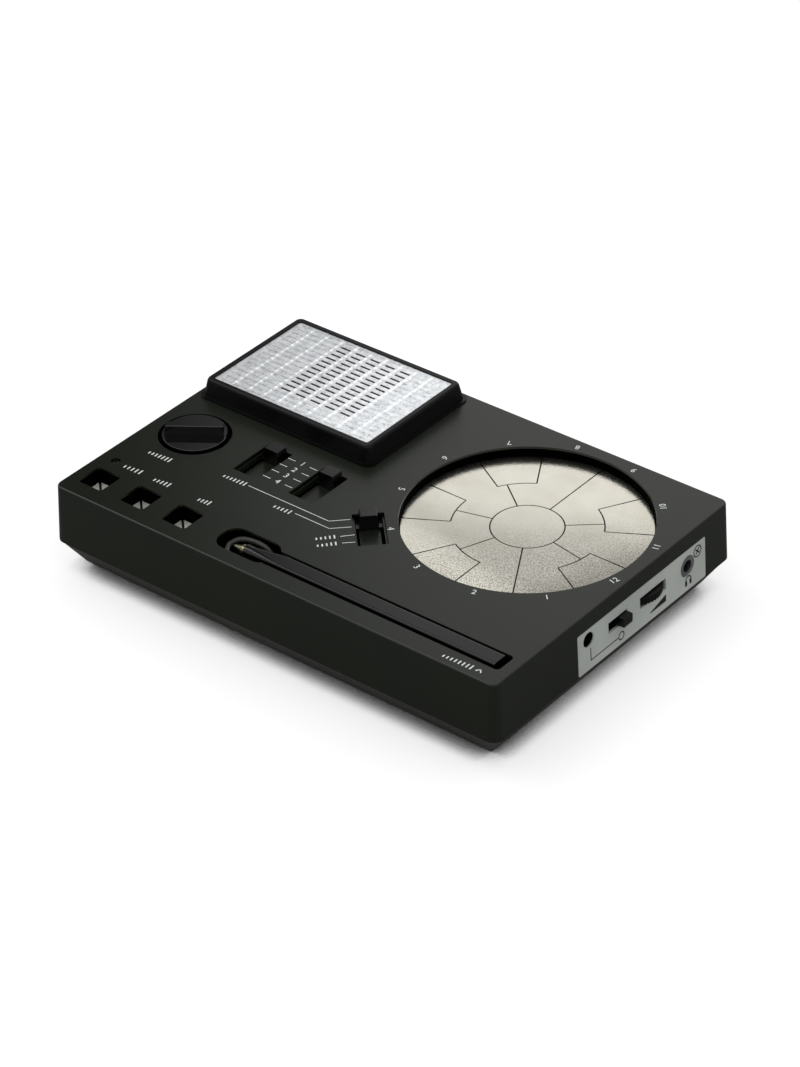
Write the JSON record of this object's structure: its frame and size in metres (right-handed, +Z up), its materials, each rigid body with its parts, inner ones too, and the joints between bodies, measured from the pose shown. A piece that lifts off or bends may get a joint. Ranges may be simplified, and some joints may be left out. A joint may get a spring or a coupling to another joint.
{
  "type": "stylus drum machine",
  "caption": "Pocket drum machine with a round touch plate, a speaker hood, slide switches, a knob and a stylus in a groove.",
  "frame": {"origin": "on the table, under the centre of the case, in the plane that the four feet stand on", "axes": "+X along the case towards the end with the side plate, +Y from the player to the back edge, +Z up"},
  "size_m": [0.1531, 0.1042, 0.0325],
  "materials": {
    "case_shell": "satin",
    "hood_shell": "satin",
    "black_plastic": "satin",
    "silver_sheet": "satin",
    "plate_grey": "satin",
    "dark_metal": "satin",
    "speaker_paper": "matt",
    "steel": "satin",
    "contact_metal": "satin",
    "board_green": "satin",
    "led_red": "gloss",
    "tip_brass": "satin",
    "lead_rubber": "matt",
    "cable_grey": "matt",
    "capacitor_blue": "gloss",
    "cell_blue": "gloss"
  },
  "bodies": {
    "case": {"top_case": "case_shell", "bottom_case": "case_shell", "speaker_hood": "hood_shell", "speaker_grille": "silver_sheet", "speaker_basket": "dark_metal", "speaker_cone": "speaker_paper", "speaker_magnet": "steel", "speaker_screws": "steel", "touch_pads": "silver_sheet", "touch_board": "board_green", "touch_board_screws": "steel", "control_board": "board_green", "control_board_screws": "steel", "well_contacts": "contact_metal", "slide_switch_a": "dark_metal", "slide_switch_b": "dark_metal", "slide_switch_c": "dark_metal", "tempo_pot": "dark_metal", "tempo_nut": "steel", "beat_led": "led_red", "stylus_lead": "lead_rubber", "lead_grommet": "lead_rubber", "side_plate": "plate_grey", "line_jack": "black_plastic", "headphone_jack": "steel", "power_switch": "steel", "volume_pot": "black_plastic", "side_board": "board_green", "side_board_screws": "steel", "main_board": "board_green", "main_board_screws": "steel", "main_chip": "black_plastic", "board_capacitors": "capacitor_blue", "ribbon_cable": "cable_grey", "battery_cells": "cell_blue", "battery_contacts": "steel", "battery_springs": "steel", "battery_tray": "case_shell", "case_screws": "steel", "rubber_feet": "lead_rubber"},
    "tempo_dial": {"tempo_knob": "black_plastic", "tempo_shaft": "steel"},
    "slider_a": {"slider_cap_a": "black_plastic"},
    "slider_b": {"slider_cap_b": "black_plastic"},
    "slider_c": {"slider_cap_c": "black_plastic"},
    "stylus": {"stylus_body": "black_plastic", "stylus_tip": "tip_brass"},
    "volume_dial": {"volume_wheel": "black_plastic", "volume_shaft": "steel"},
    "power_slide": {"power_knob": "black_plastic"},
    "door": {"battery_door": "case_shell"}
  },
  "joints": [
    {"name": "tempo_turn", "type": "hinge", "parent": "case", "child": "tempo_dial", "pos_m": [-0.061, -0.0096, 0.027], "axis": [0, 0, -1], "range_deg": [-140, 140]},
    {"name": "switch_a_slide", "type": "slide", "parent": "case", "child": "slider_a", "axis": [0, -1, 0], "range_m": [0, 0.0105]},
    {"name": "switch_b_slide", "type": "slide", "parent": "case", "child": "slider_b", "axis": [0, -1, 0], "range_m": [0, 0.0105]},
    {"name": "switch_c_slide", "type": "slide", "parent": "case", "child": "slider_c", "axis": [0.6947, -0.7193, 0], "range_m": [0, 0.0105]},
    {"name": "stylus_lift", "type": "slide", "parent": "case", "child": "stylus", "axis": [0, 0, 1], "range_m": [0, 0.05], "deforming": ["stylus_lead"]},
    {"name": "volume_turn", "type": "hinge", "parent": "case", "child": "volume_dial", "pos_m": [0.06873, 0.0161, 0.0171], "axis": [0, 0, 1], "range_deg": [0, 270]},
    {"name": "power_slide_joint", "type": "slide", "parent": "case", "child": "power_slide", "axis": [0, -1, 0], "range_m": [0, 0.0039]},
    {"name": "door_slide", "type": "slide", "parent": "case", "child": "door", "axis": [0, 1, 0], "range_m": [0, 0.038]}
  ]
}
